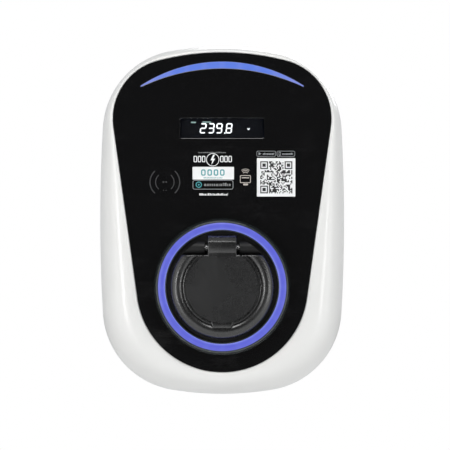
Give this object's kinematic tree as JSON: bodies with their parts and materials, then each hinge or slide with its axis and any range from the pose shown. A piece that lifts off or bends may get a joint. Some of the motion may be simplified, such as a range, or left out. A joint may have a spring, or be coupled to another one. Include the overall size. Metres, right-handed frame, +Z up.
{
  "type": "wall-mounted ev charge point",
  "caption": "Wall-mounted electric vehicle charge point with glossy front panel, light ring and a Type 2 socket outlet under a sprung hinged flap.",
  "frame": {"origin": "centre of the wall face, on the back of the wall bracket", "axes": "+X to the viewer's right, +Z up, +Y into the wall; the front faces -Y"},
  "size_m": [0.284, 0.1444, 0.404],
  "materials": {
    "shell_white": "glossy moulded pale grey-white",
    "housing_white": "satin moulded pale grey-white",
    "panel_black": "high-gloss black acrylic",
    "ring_black": "glossy black",
    "flap_black": "fine-textured matte black",
    "light_blue": "lit blue diffuser",
    "window_smoke": "smoked clear acrylic",
    "digit_white": "lit white segments",
    "rubber_black": "matte",
    "steel": "zinc-plated",
    "spring_steel": "bright",
    "contact_silver": "silver-plated brass",
    "inner_grey": "glass-filled, matte",
    "board_green": "solder mask",
    "led_white": "LED packages",
    "part_black": "moulded",
    "gear_white": "acetal",
    "brass_part": "turned",
    "wire_mixed": "PVC insulation",
    "label_white": "printed vinyl"
  },
  "bodies": {
    "casing": {"wall_bracket": "steel", "safety_screws": "steel", "rear_housing": "housing_white", "housing_gasket": "rubber_black", "front_shell": "shell_white", "shell_screws": "steel", "panel_tape": "rubber_black", "front_panel": "panel_black", "inner_frame": "inner_grey", "frame_screws": "steel", "light_bar_lens": "light_blue", "light_bar_board": "board_green", "light_bar_leds": "led_white", "display_window": "window_smoke", "display_board": "part_black", "display_digits": "digit_white", "reader_board": "board_green", "ring_bezel": "ring_black", "bezel_screws": "steel", "ring_light_guide": "light_blue", "ring_led_board": "board_green", "ring_leds": "led_white", "socket_flange": "flap_black", "hinge_pin": "spring_steel", "flap_springs": "spring_steel", "socket_body": "inner_grey", "socket_insulator": "inner_grey", "socket_contacts": "contact_silver", "socket_rear_cap": "inner_grey", "socket_gasket": "rubber_black", "socket_screws": "steel", "lock_housing": "inner_grey", "lock_cover": "inner_grey", "lock_screws": "steel", "lock_motor": "steel", "lock_axle": "steel", "power_board": "board_green", "board_posts": "brass_part", "board_screws": "steel", "relays": "part_black", "power_supply": "part_black", "current_sensor": "part_black", "terminal_block": "inner_grey", "terminal_screws": "steel", "capacitors": "part_black", "control_board": "board_green", "control_chips": "part_black", "antenna": "board_green", "buzzer": "part_black", "power_wires": "wire_mixed", "cable_grommet": "rubber_black", "entry_plug": "housing_white", "vent_plug": "part_black", "id_label": "label_white", "code_label": "label_white"},
    "flap": {"flap": "flap_black", "flap_seal": "rubber_black"},
    "lock_gear": {"lock_gear": "gear_white"},
    "lock_pinion": {"lock_pinion": "brass_part"},
    "lock_bolt": {"lock_bolt": "steel"}
  },
  "joints": [
    {"name": "flap_hinge", "type": "hinge", "parent": "casing", "child": "flap", "pos_m": [0, -0.1295, -0.0318], "axis": [-1, 0, 0], "range_deg": [0, 105], "stiffness_Nm_per_rad": 0.12, "springref_deg": -34.38, "deforming": ["flap_springs"]},
    {"name": "lock_gear_spin", "type": "hinge", "parent": "casing", "child": "lock_gear", "pos_m": [0.012, -0.08, -0.032], "axis": [0, -1, 0], "range_deg": [0, 57]},
    {"name": "lock_pinion_spin", "type": "hinge", "parent": "casing", "child": "lock_pinion", "pos_m": [0.0281, -0.08, -0.032], "axis": [0, -1, 0], "range_deg": [-206, 0]},
    {"name": "lock_bolt_slide", "type": "slide", "parent": "casing", "child": "lock_bolt", "axis": [0, 0, -1], "range_m": [0, 0.006]}
  ],
  "couplings": [
    {"joint": "lock_pinion_spin", "follows": "lock_gear_spin", "ratio": -3.6},
    {"joint": "lock_bolt_slide", "follows": "lock_gear_spin", "m_per_rad": 0.006}
  ]
}
